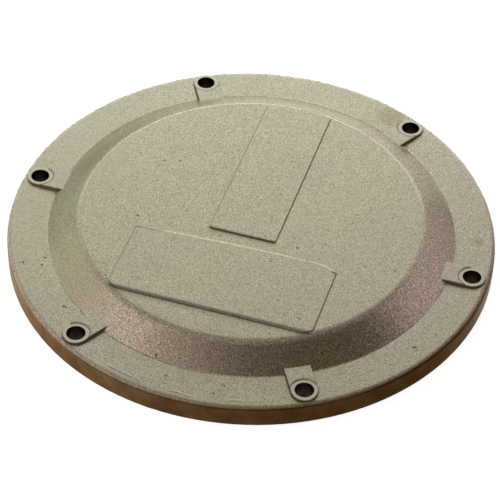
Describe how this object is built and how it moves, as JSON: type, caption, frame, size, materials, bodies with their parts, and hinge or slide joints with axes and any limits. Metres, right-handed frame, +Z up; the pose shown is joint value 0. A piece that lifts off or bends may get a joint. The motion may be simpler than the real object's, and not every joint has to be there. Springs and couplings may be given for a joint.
{
  "type": "inspection cover",
  "caption": "Round cast aluminium inspection cover: flat flange with spot-faced bolt bosses, sloped wall and a raised crown with blank plates.",
  "frame": {"origin": "centre of the flat seat face on the underside", "axes": "+Z up, away from the seat, +X through a bolt hole, +Y along the upper plate towards its far end"},
  "size_m": [0.35, 0.35, 0.0304],
  "materials": {
    "cast_aluminium": "as cast, fine sandy skin, smooth rim"
  },
  "bodies": {
    "root": {"cover": "cast_aluminium"}
  },
  "joints": []
}
